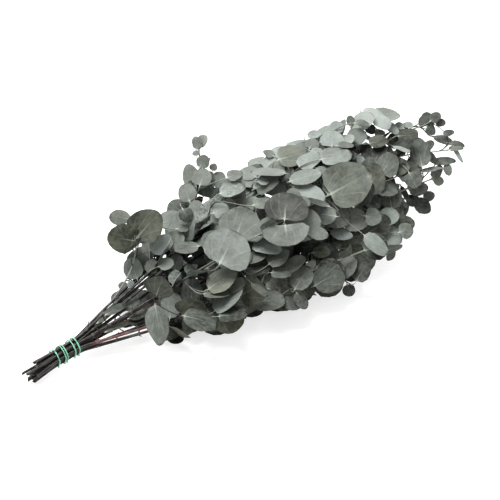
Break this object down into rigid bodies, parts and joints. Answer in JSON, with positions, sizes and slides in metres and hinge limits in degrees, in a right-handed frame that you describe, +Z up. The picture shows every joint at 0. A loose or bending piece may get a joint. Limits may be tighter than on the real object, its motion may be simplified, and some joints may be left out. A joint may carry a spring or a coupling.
{
  "type": "eucalyptus branch",
  "caption": "Tied bunch of round-leaved eucalyptus stems lying on its side, bound with green twine near the cut ends, for floral decoration.",
  "frame": {"origin": "middle of the bounding box's base, on the surface that the bunch lies on", "axes": "+X along the bunch from the cut ends towards the leaf tips, +Z up from the surface, +Y across to the side away from the picture's camera"},
  "size_m": [0.5865, 0.2125, 0.1496],
  "materials": {
    "leafy_stem": "matte, waxy grey-green leaves on thin dark stems",
    "twine": "satin"
  },
  "bodies": {
    "root": {"stem_top_far": "leafy_stem", "stem_top_middle": "leafy_stem", "stem_top_back": "leafy_stem", "stem_near_left": "leafy_stem", "stem_front_high": "leafy_stem", "stem_front_big": "leafy_stem", "stem_front_middle": "leafy_stem", "stem_front_low": "leafy_stem", "stem_low_near": "leafy_stem", "stem_right_low": "leafy_stem", "stem_far_high": "leafy_stem", "stem_far_middle": "leafy_stem", "stem_centre": "leafy_stem", "stem_back_middle": "leafy_stem", "stem_back_low": "leafy_stem", "stem_back_far": "leafy_stem", "twine": "twine"}
  },
  "joints": []
}
